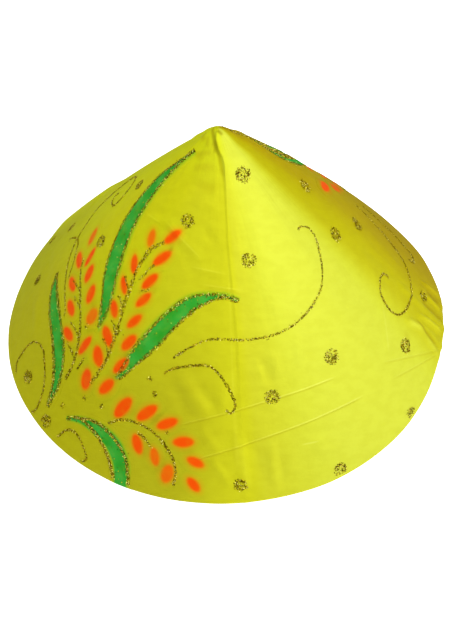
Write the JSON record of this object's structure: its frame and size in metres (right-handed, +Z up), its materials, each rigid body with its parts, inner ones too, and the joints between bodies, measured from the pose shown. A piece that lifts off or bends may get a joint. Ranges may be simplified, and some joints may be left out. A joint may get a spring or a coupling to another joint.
{
  "type": "vietnamese conical hat",
  "caption": "Pointed conical sun hat of bamboo hoops and palm leaf, with a painted satin cover stretched over it and rolled round the rim.",
  "frame": {"origin": "on the ground under the middle of the hat", "axes": "+Z up to the point, -Y towards the front, where the pressed crease is, +X to the right as seen from the front"},
  "size_m": [0.4014, 0.3994, 0.1872],
  "materials": {
    "satin": "glossy yellow satin, painted with green leaves and orange grains, with glitter lines",
    "palm_leaf": "dried palm leaf, ribbed down the slope",
    "bamboo": "split bamboo, smooth and pale"
  },
  "bodies": {
    "root": {"cover": "satin", "leaf_cone": "palm_leaf", "rim_hoop": "bamboo", "hoop_01": "bamboo", "hoop_02": "bamboo", "hoop_03": "bamboo", "hoop_04": "bamboo", "hoop_05": "bamboo", "hoop_06": "bamboo", "hoop_07": "bamboo", "hoop_08": "bamboo", "hoop_09": "bamboo", "hoop_10": "bamboo", "hoop_11": "bamboo", "hoop_12": "bamboo", "hoop_13": "bamboo", "hoop_14": "bamboo", "hoop_15": "bamboo"}
  },
  "joints": []
}
